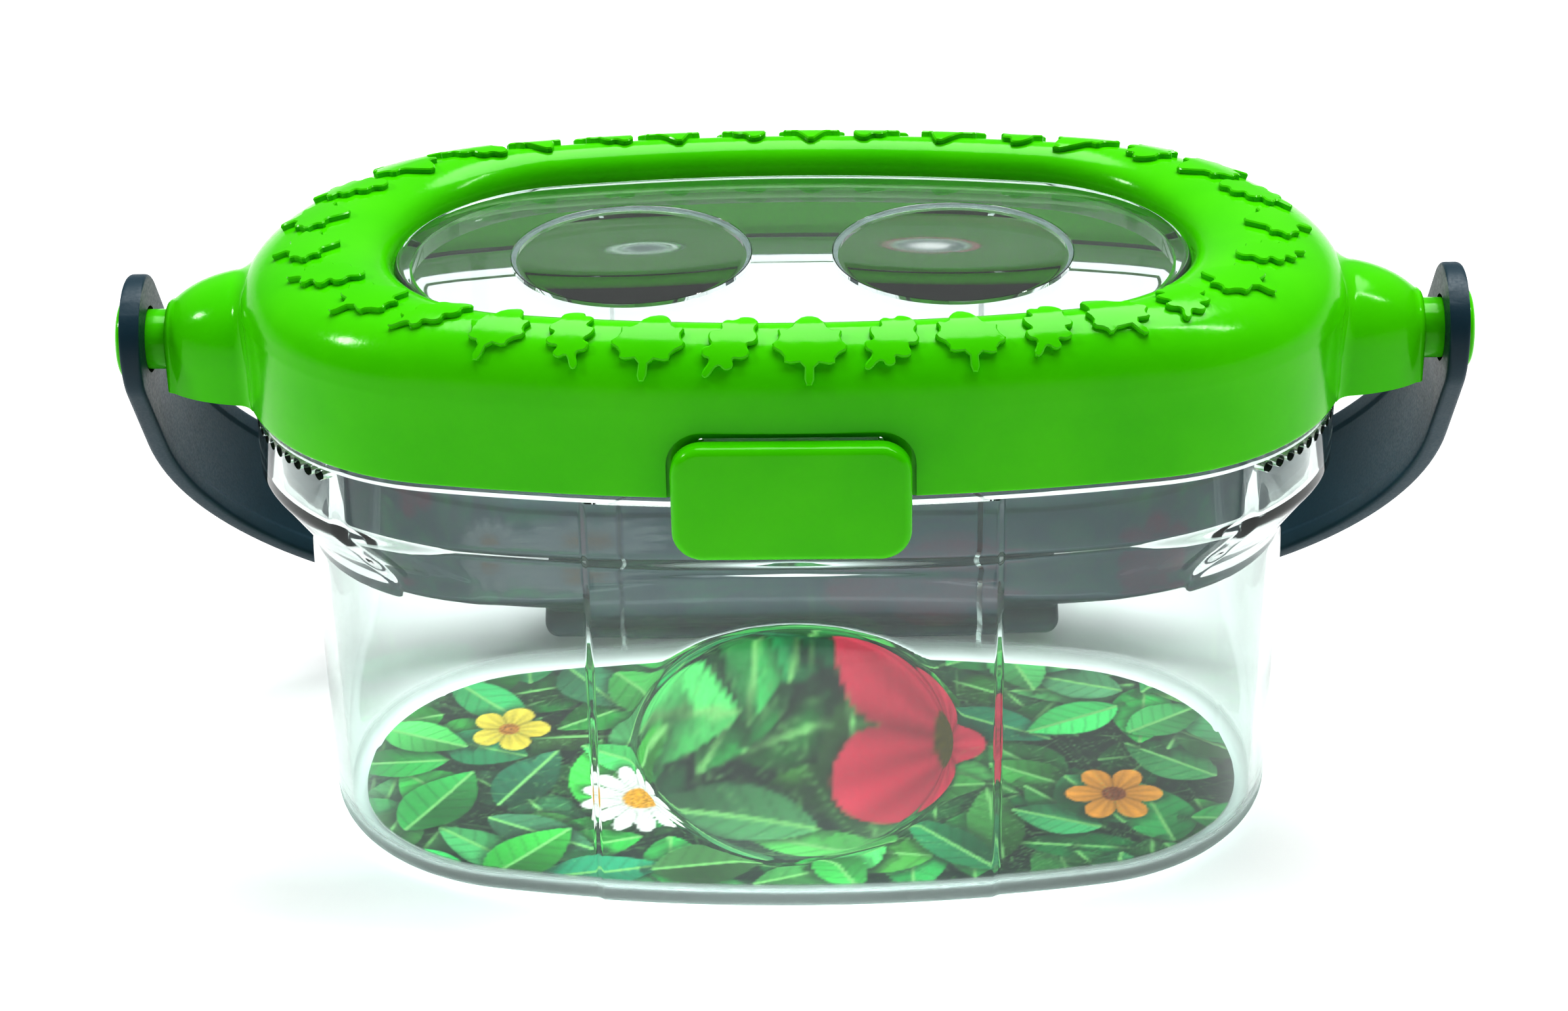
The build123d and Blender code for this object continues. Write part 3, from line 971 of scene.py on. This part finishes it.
class Crown:
    """The ring's upper surface, by normal angle and by distance from its inner edge."""

    def __init__(self):
        profile = np.array(soft_curve(CROWN_PROFILE[:-2], 120))
        self.across = profile[:, 0]
        self.height = skirt_top + profile[:, 1] * (CREST_HEIGHT - SKIRT_HEIGHT)

    def point(self, angles, inward):
        """Places at the normal angles and at distances in mm from the inner edge."""
        outer = lid_outline.at(angles)
        inner = opening.at(angles)
        places = np.empty((len(angles), 3))
        for k in range(len(angles)):
            flat = outer[k] + (inner[k] - outer[k]) * self.across[:, None]
            line = np.column_stack([flat, self.height])
            run = run_along(line)
            at = run[-1] - inward[k]
            places[k] = [np.interp(at, run, line[:, axis]) for axis in range(3)]
        return places

    def lifted(self, angles, inward, height):
        """Places raised above the surface along its normal."""
        step = 0.02
        turn = 0.0005
        here = self.point(angles, inward)
        along = self.point(angles + turn, inward) - self.point(angles - turn, inward)
        across = self.point(angles, inward + step) - self.point(angles, inward - step)
        normal = np.cross(across, along)
        normal /= np.linalg.norm(normal, axis=1)[:, None]
        normal *= np.sign(normal[:, 2:3])
        return here + normal * height[:, None]


def make_leaves():
    crown = Crown()
    fine = np.linspace(-math.pi, math.pi, 20001)
    run = run_along(lid_outline.towards(opening, 0.55).at(fine))
    kinds = [leaf_outline(MAPLE_HALF, 1), leaf_outline(OAK_HALF, 2)]
    pick = random.Random(7)
    parts = []
    for number in range(LEAF_COUNT):
        outline = kinds[number % 2]
        centre = (number + 0.5) / LEAF_COUNT * run[-1]
        lean = pick.uniform(-LEAF_TILT, LEAF_TILT)
        if number % 2:
            lean += pick.choice((-LEAF_LEAN, LEAF_LEAN))
        tilt = math.radians(lean)
        size = pick.uniform(*LEAF_SIZES)
        flat, faces = filled(inset_outline(outline, LEAF_BEVEL))
        count = len(outline)
        level = np.concatenate([
            np.full(len(flat), LEAF_RELIEF),
            np.full(count, LEAF_RELIEF - LEAF_BEVEL),
            np.full(count, -LEAF_SUNK),
        ])
        plan = np.vstack([flat, outline, outline]) - (0, LEAF_LENGTH / 2)
        turn = np.array([[math.cos(tilt), -math.sin(tilt)], [math.sin(tilt), math.cos(tilt)]])
        plan = size * plan @ turn.T
        end_share = math.cos(np.interp(centre, run, fine)) ** 2
        margin = LEAF_MARGIN_SIDE + (LEAF_MARGIN_END - LEAF_MARGIN_SIDE) * end_share
        angles = np.interp(centre + plan[:, 0], run, fine)
        places = crown.lifted(angles, margin + LEAF_LENGTH / 2 - plan[:, 1], level)
        rings = [range(start, start + count) for start in (0, len(flat), len(flat) + count)]
        faces += band(rings[0], rings[1]) + band(rings[1], rings[2]) + [tuple(rings[2])]
        parts.append((places, faces))
    piece = finish_mesh("lid_leaves", *joined(parts), green, math.radians(30))
    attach(piece, "lid")


# Window
def make_window():
    angles = angles_round(opening, ring_spacing)
    raised = opening.inset(WINDOW_CLEARANCE)
    flange = opening.inset(-WINDOW_FLANGE_REACH)
    under = raised.inset(WINDOW_THICKNESS)
    low, ceiling = lip_bottom - WINDOW_THICKNESS, window_top - WINDOW_THICKNESS
    rows = [
        (under.inset(3), ceiling),
        (under.inset(0.3), ceiling),
        (under, ceiling - 0.3),
        (under, low),
        (flange, low),
        (flange, lip_bottom),
        (raised, lip_bottom),
        (raised, window_top - WINDOW_EDGE_ROUND - 0.3),
    ]
    rows.extend((raised.inset(gap), window_top - down) for gap, down in rounding(WINDOW_EDGE_ROUND, 9))
    rows.append((raised.inset(WINDOW_EDGE_ROUND + 2), window_top))
    piece = finish_mesh("lid_pane", *lofted([o.loop(angles, z) for o, z in rows]), window_clear)
    tools = []
    for side in (-1, 1):
        centre = (side * LENS_SPACING / 2, 0)
        wide = LENS_DIAMETER / 2 + LENS_CLEARANCE
        narrow = LENS_DIAMETER / 2 - LENS_LEDGE
        steps = [(narrow, ceiling - 1), (narrow, lens_seat), (wide, lens_seat), (wide, window_top + 1)]
        tools.append(turned(steps, 128, centre))
    cut(piece, tools, window_clear)
    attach(piece, "lid")
    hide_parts("lid_window")


def cap_rows(radius, rise, count):
    """Radius and height down a shallow round cap, from its rim to near its middle."""
    ball = (radius**2 + rise**2) / (2 * rise)
    turns = np.linspace(math.asin(radius / ball), 0.0, count, endpoint=False)
    return [(ball * math.sin(t), ball * math.cos(t) - ball + rise) for t in turns]


def make_lenses():
    radius, rim = LENS_DIAMETER / 2, LENS_DIAMETER / 2 - LENS_RIM_ROUND
    small = radius - LENS_LEDGE - LENS_CLEARANCE
    lower = [(r, lens_seat - h) for r, h in reversed(cap_rows(small, LENS_BOTTOM_BULGE, 24))]
    upper = [(r, window_top + h) for r, h in cap_rows(rim, LENS_TOP_BULGE, 24)]
    profile = [*lower, (radius, lens_seat), (radius, window_top - LENS_RIM_ROUND), *upper]
    for name, side in (("left", -1), ("right", 1)):
        skin = turned(profile, 128, (side * LENS_SPACING / 2, 0))
        piece = finish_mesh(f"lid_magnifier_{name}", *skin, lens_clear)
        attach(piece, "lid")
        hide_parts(f"{name}_lens")


# Handle, made hanging straight down from the post axis
def strap_section(recess):
    """Section of the strap: across its width, then inwards from its outer face, with raised rims."""
    half, thick = STRAP_WIDTH / 2, STRAP_RIM_THICKNESS
    sunk = (STRAP_RIM_THICKNESS - STRAP_WEB_THICKNESS) / 2 * recess
    inner = half - STRAP_RIM
    web = [(0.0, sunk), (inner - 0.5, sunk), (inner - 0.2, sunk * 0.85), (inner + 0.2, sunk * 0.15)]
    web.append((inner + 0.5, 0.0))
    near = web + [(half - gap, down) for down, gap in rounding(STRAP_CORNER, 5)]
    right = near + [(w, thick - t) for w, t in reversed(near)]
    left = [(-w, t) for w, t in reversed(right)]
    return np.array(right[1:] + left[1:])


def bail_path():
    """Points along the strap's outer face, below and above the post axis, with their outward ways."""
    half, radius, drop = strap_outer, BAIL_CORNER_RADIUS, BAIL_DROP
    flat, low = half - radius, -(drop - radius)
    rows = [((half, STRAP_WIDTH / 2 * math.sin(turn)), (1.0, 0.0)) for turn in quarter(16)[-2::-1]]
    rows.extend(((half, z), (1.0, 0.0)) for z in np.linspace(0, low, 12)[1:])
    for turn in quarter(40)[1:]:
        way = (math.cos(turn), -math.sin(turn))
        rows.append(((flat + radius * way[0], low + radius * way[1]), way))
    mirror = [((-x, z), (-a, b)) for (x, z), (a, b) in reversed(rows)]
    between = [((x, -drop), (0.0, -1.0)) for x in np.linspace(flat, -flat, 14)[1:-1]]
    return rows + between + mirror


def strap_loops():
    loops = []
    for (x, z), (a, b) in bail_path():
        section = strap_section(float(smoothstep(RECESS_START, RECESS_END, -z)))
        if z > 0:
            section[:, 0] *= max(math.sqrt(max(1 - (2 * z / STRAP_WIDTH) ** 2, 0)), EYE_TOP_SHARE)
        loops.append(np.column_stack([x - a * section[:, 1], section[:, 0], z - b * section[:, 1]]))
    return loops


def hung(points):
    """Turns points made hanging straight down to the angle at which the bail rests."""
    turn = math.pi / 2 - HANG_ANGLE
    c, s = math.cos(turn), math.sin(turn)
    x, y, z = np.asarray(points).T
    return np.column_stack([x, y * c - z * s, y * s + z * c + post_height])


def make_handle():
    reach = strap_outer + 4
    hole = rod_along((-reach, 0, 0), (reach, 0, 0), POST_DIAMETER / 2 + EYE_CLEARANCE, 48)
    strap, faces = lofted(strap_loops())
    piece = finish_mesh("bail_strap", hung(strap), faces, black)
    cut(piece, [(hung(hole[0]), hole[1])], black)
    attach(piece, "bail")
    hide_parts("handle")
    low = -(BAIL_DROP + GRIP_OUTSET)
    flange = rounded_slab(
        GRIP_LENGTH / 2, GRIP_WIDTH / 2, low, low + GRIP_FLANGE, GRIP_CORNER, GRIP_EDGE_ROUND
    )
    core_top = -BAIL_DROP + STRAP_RIM_THICKNESS / 2
    core = rounded_slab(GRIP_LENGTH / 2 - 0.4, STRAP_WIDTH / 2, low + GRIP_FLANGE / 2, core_top, 1.2, 0.5)
    vertices, faces = joined([flange, core])
    grip = finish_mesh("bail_grip", hung(vertices), faces, black)
    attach(grip, "bail")


# Flowers on the card: place, petals, radius, petal ink, core ink, core radius, slimness of the petals
FLOWERS = [
    ((15, 6), 5, 14.0, (0.55, 0.035, 0.075), (0.09, 0.07, 0.01), 3.2, 0.6),
    ((-24, -9), 13, 9.5, (0.8, 0.8, 0.76), (0.75, 0.36, 0.02), 3.0, 0.5),
    ((48, -9), 6, 7.5, (0.75, 0.3, 0.03), (0.28, 0.07, 0.02), 2.0, 0.7),
    ((-46, 11), 5, 6.5, (0.72, 0.56, 0.06), (0.5, 0.2, 0.03), 1.7, 0.6),
]
FLOWER_ROOM = 18
GROUND_INK = (0.006, 0.022, 0.014)
LEAF_SHADOW = (0.004, 0.014, 0.01)
FLOWER_SHADOW = (0.004, 0.012, 0.008)
RIB_INK = (0.2, 0.5, 0.16)
PAPER = (0.75, 0.75, 0.72)
PRINT_HALF_LENGTH = 69.0
PRINT_HALF_DEPTH = 36.0


def card_print(x, y):
    """Ink colours of a plain leaf print at places on the card, in linear light."""
    pick = random.Random(21)
    colour = np.tile(GROUND_INK, (len(x), 1))

    def paint(mask, ink):
        mask = mask[:, None]
        colour[:] = colour * (1 - mask) + ink * mask

    def leaf(px, py, angle, length, width, ink):
        c, s = math.cos(angle), math.sin(angle)
        u = ((x - px) * c + (y - py) * s) / length
        v = (-(x - px) * s + (y - py) * c) / width
        inside = (u > -0.1) & (u < 1.1)
        shape = np.where(inside, np.sin(math.pi * np.clip(u, 0, 1)) ** 0.75 * (1 - 0.35 * u), 0) * 0.62
        gap = (shape - np.abs(v)) * width
        shadow = np.where(inside, np.clip(1 + gap / 2.2, 0, 1), 0) * 0.75
        paint(np.where(gap < 0, shadow, 0) * (np.abs(v) < 1), LEAF_SHADOW)
        veins = np.abs(((u * 7 - np.abs(v) * 2.4) % 1.0) - 0.5)
        light = 0.62 + 0.45 * (v > 0) + 0.3 * np.sin(u * 3.0 + px)
        light = light * (0.82 + 0.3 * smoothstep(0.02, 0.16, veins))
        rib = 1 - smoothstep(0.15, 0.45, np.abs(v) * width)[:, None]
        tone = np.clip(light, 0.25, 1.6)[:, None] * ink * (1 - rib) + RIB_INK * rib
        paint(smoothstep(-0.12, 0.2, gap), tone)

    def flower(place, petals, radius, ink, core, core_radius, slim):
        away = np.hypot(x - place[0], y - place[1])
        turn = np.arctan2(y - place[1], x - place[0])
        lobe = np.abs(np.cos(turn * petals / 2)) ** slim
        edge = radius * (0.55 + 0.45 * lobe)
        shadow = np.where(away > edge, np.clip(1 - (away - edge) / 2.5, 0, 1), 0) * 0.7
        paint(shadow, FLOWER_SHADOW)
        shade = 0.55 + 0.5 * np.clip(away / radius, 0, 1) + 0.12 * np.cos(turn * petals * 3)
        paint(smoothstep(-0.15, 0.2, edge - away), (shade * (0.7 + 0.3 * lobe))[:, None] * ink)
        dots = 0.75 + 0.35 * np.sin(away * 5.0) * np.cos(turn * 16)
        paint(smoothstep(-0.15, 0.25, core_radius - away), dots[:, None] * core)

    def anywhere():
        across = pick.uniform(-PRINT_HALF_LENGTH, PRINT_HALF_LENGTH)
        return across, pick.uniform(-PRINT_HALF_DEPTH, PRINT_HALF_DEPTH)

    def green_ink(*ranges):
        return np.array([pick.uniform(low, high) for low, high in ranges])

    def any_turn():
        return pick.uniform(0, 2 * math.pi)

    for count, bright in [(70, 0.45), (70, 0.75), (60, 1.0)]:
        for _ in range(count):
            place = anywhere()
            ink = green_ink((0.012, 0.075), (0.2, 0.45), (0.05, 0.12)) * bright
            leaf(*place, any_turn(), pick.uniform(13, 21), pick.uniform(7, 11), ink)
    for kind in FLOWERS:
        flower(*kind)
    for _ in range(16):
        place = anywhere()
        ink = green_ink((0.04, 0.1), (0.4, 0.56), (0.08, 0.14))
        if min(math.dist(place, kind[0]) for kind in FLOWERS) > FLOWER_ROOM:
            leaf(*place, any_turn(), pick.uniform(12, 17), pick.uniform(7, 10), ink)
    return colour


def make_card():
    outline = body_oval(FLOOR_THICKNESS, WALL + CARD_MARGIN)
    columns, rows = 440, 160
    turns = np.linspace(-math.pi / 2, math.pi / 2, columns + 2)[1:-1]
    low, high = FLOOR_THICKNESS + 0.02, FLOOR_THICKNESS + CARD_THICKNESS
    grid = []
    for x in outline.half_length * np.sin(turns):
        depth = float(outline.depth_at(np.array([x]))[0])
        y = np.linspace(-depth, depth, rows)
        grid.append(at_height(np.column_stack([np.full(rows, x), y]), high))
    top = np.vstack(grid)
    number = np.arange(columns * rows).reshape(columns, rows)
    corners = [number[:-1, :-1], number[1:, :-1], number[1:, 1:], number[:-1, 1:]]
    faces = np.stack(corners, axis=-1).reshape(-1, 4).tolist()
    sides = [number[:, 0], number[-1, 1:-1], number[::-1, -1], number[0, -2:0:-1]]
    border = np.concatenate(sides).tolist()
    under = top[border] * (1, 1, 0) + (0, 0, low)
    start = len(top)
    lower = range(start, start + len(border))
    faces += band(border, lower) + [tuple(lower)]
    vertices = np.vstack([top, under])
    piece = finish_mesh("floor_card", vertices, faces, card_ink)
    ink = piece.data.color_attributes.new("print", "FLOAT_COLOR", "POINT")
    colours = card_print(vertices[:, 0], vertices[:, 1])
    colours[start:] = PAPER
    ink.data.foreach_set("color", np.column_stack([colours, np.ones(len(colours))]).ravel())
    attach(piece, "jar")
    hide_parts("base_card")


# Stage
CAMERA_AZIMUTH = math.radians(1.08)
CAMERA_ELEVATION = math.radians(28.13)
CAMERA_ROLL = math.radians(-0.99)
CAMERA_DISTANCE = 540.0
CAMERA_TARGET = (-1.8, 0.0, 47.97)
FOCAL_PIXELS = 5496.5
IMAGE_WIDTH = 2388
SENSOR_WIDTH = 36.0
FLOOR_REACH = 3000.0
FLOOR_DROP = 0.1


def make_camera():
    ca, sa = math.cos(CAMERA_AZIMUTH), math.sin(CAMERA_AZIMUTH)
    ce, se = math.cos(CAMERA_ELEVATION), math.sin(CAMERA_ELEVATION)
    back = Vector((sa * ce, -ca * ce, se))
    right = (-back).cross(Vector((0, 0, 1))).normalized()
    up = right.cross(-back)
    cr, sr = math.cos(CAMERA_ROLL), math.sin(CAMERA_ROLL)
    across = right * cr + up * sr
    above = up * cr - right * sr
    data = bpy.data.cameras.new("camera")
    data.sensor_fit = "HORIZONTAL"
    data.sensor_width = SENSOR_WIDTH
    data.lens = FOCAL_PIXELS / IMAGE_WIDTH * SENSOR_WIDTH
    data.clip_start = 0.01
    camera = add_object("camera", data)
    turn = Matrix((across, above, back)).transposed().to_4x4()
    camera.matrix_world = Matrix.Translation((Vector(CAMERA_TARGET) + back * CAMERA_DISTANCE) * MM) @ turn
    bpy.context.scene.camera = camera


def make_floor():
    graph = Graph(bpy.data.materials.new("studio_floor"))
    polish = graph.ranged(graph.noise(400.0), 0.55, 0.65)
    base = graph.add("BsdfPrincipled", Base_Color=(0.9, 0.9, 0.9, 1), Roughness=polish)
    made = graph.finish(base.outputs["BSDF"])
    reach = FLOOR_REACH * MM
    corners = [(x * reach, y * reach, -FLOOR_DROP * MM) for x, y in ((-1, -1), (1, -1), (1, 1), (-1, 1))]
    mesh = bpy.data.meshes.new("floor")
    mesh.from_pydata(corners, [], [(0, 1, 2, 3)])
    mesh.materials.append(made)
    floor = add_object("floor", mesh)


def area_light(name, place, aim, width, height, power):
    data = bpy.data.lights.new(name, "AREA")
    data.shape = "RECTANGLE"
    data.size = width
    data.size_y = height
    data.energy = power
    add_light(name, data, place, aim)


def far_light(name, place, aim, spread, strength):
    """Soft light that falls alike on the whole floor."""
    data = bpy.data.lights.new(name, "SUN")
    data.angle = spread
    data.energy = strength
    add_light(name, data, place, aim)


def add_light(name, data, place, aim):
    light = add_object(name, data)
    light.location = place
    light.rotation_euler = (Vector(aim) - Vector(place)).to_track_quat("-Z", "Y").to_euler()


def make_lights():
    far_light("light_above", (0.1, 0.28, 1.05), (0, 0, 0.05), math.radians(46), 2.55)
    area_light("strip_right", (0.58, -0.05, 0.88), (0, 0, 0.08), 0.05, 0.4, 1.6)
    area_light("softbox_left", (-0.85, -0.12, 0.72), (0, 0, 0.06), 0.15, 0.15, 2.0)


def make_sky():
    """Soft sky, brightest towards the upper back, with a pale band at the floor's edge."""
    graph = Graph(bpy.data.worlds.new("studio"))
    way = graph.place("Generated")
    glow = graph.ranged(graph.height(way), 0.7, 0.0, 0.03, 0.16)
    lean = graph.add("VectorMath")
    lean.operation = "DOT_PRODUCT"
    graph.feed(lean.inputs[0], way)
    graph.feed(lean.inputs[1], (0.0, 0.45, 0.55))
    sky = graph.ranged(lean.outputs["Value"], 0.02, 0.3, 0.0, 0.62)
    level = graph.math("MAXIMUM", glow, sky)
    back = graph.add("Background", Color=(1, 1, 1, 1), Strength=level)
    bpy.context.scene.world = graph.finish(back.outputs["Background"], "OutputWorld")


def set_view():
    """Tone of the picture, and enough bounces for the nested clear walls."""
    scene = bpy.context.scene
    scene.view_settings.view_transform = "Standard"
    scene.view_settings.look = "High Contrast"
    scene.cycles.max_bounces = 20
    scene.cycles.transmission_bounces = 20
    scene.cycles.transparent_max_bounces = 16


make_camera()
make_tub()
make_card()
make_lid_ring()
make_ears()
make_leaves()
make_window()
make_lenses()
make_handle()
make_latch()

make_floor()
make_lights()
make_sky()
set_view()
